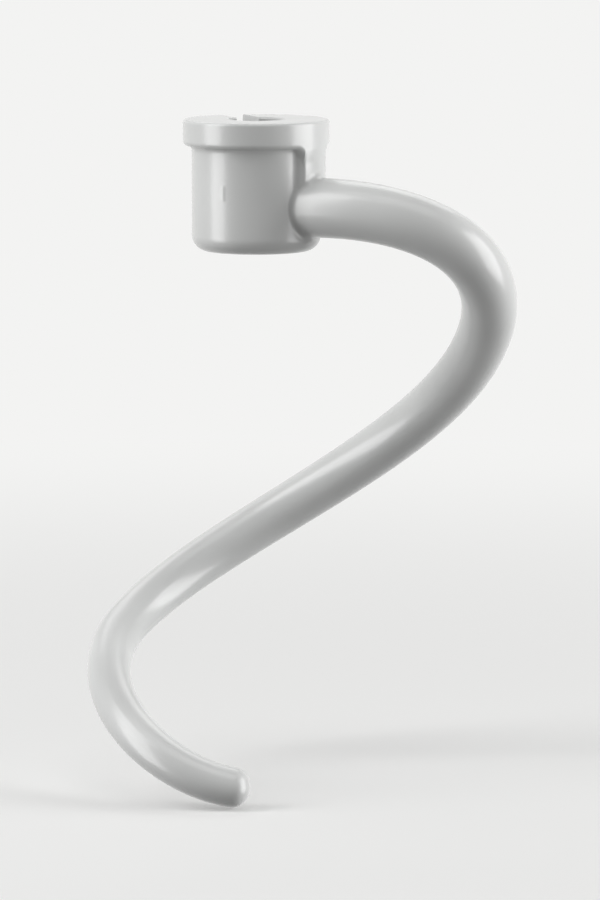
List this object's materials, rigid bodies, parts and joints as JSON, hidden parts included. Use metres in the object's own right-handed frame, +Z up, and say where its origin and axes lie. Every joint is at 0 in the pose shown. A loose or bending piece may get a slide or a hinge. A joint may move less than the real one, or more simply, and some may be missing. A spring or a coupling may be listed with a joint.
{
  "type": "stand mixer dough hook",
  "caption": "Dough hook for a stand mixer: collared hub with a blind shaft bore and a pin slot, and a tapered arm that winds down in a shrinking spiral to a domed tip.",
  "frame": {"origin": "on the shaft bore's axis, in the collar's top face", "axes": "+Z up along the drive shaft, out of the bore's mouth; +Y away from the viewer in the picture, with the pin slot behind"},
  "size_m": [0.103, 0.0829, 0.1614],
  "materials": {
    "coated_casting": "smooth pale silver-grey satin coating on cast aluminium"
  },
  "bodies": {
    "root": {"dough_hook": "coated_casting"}
  },
  "joints": []
}
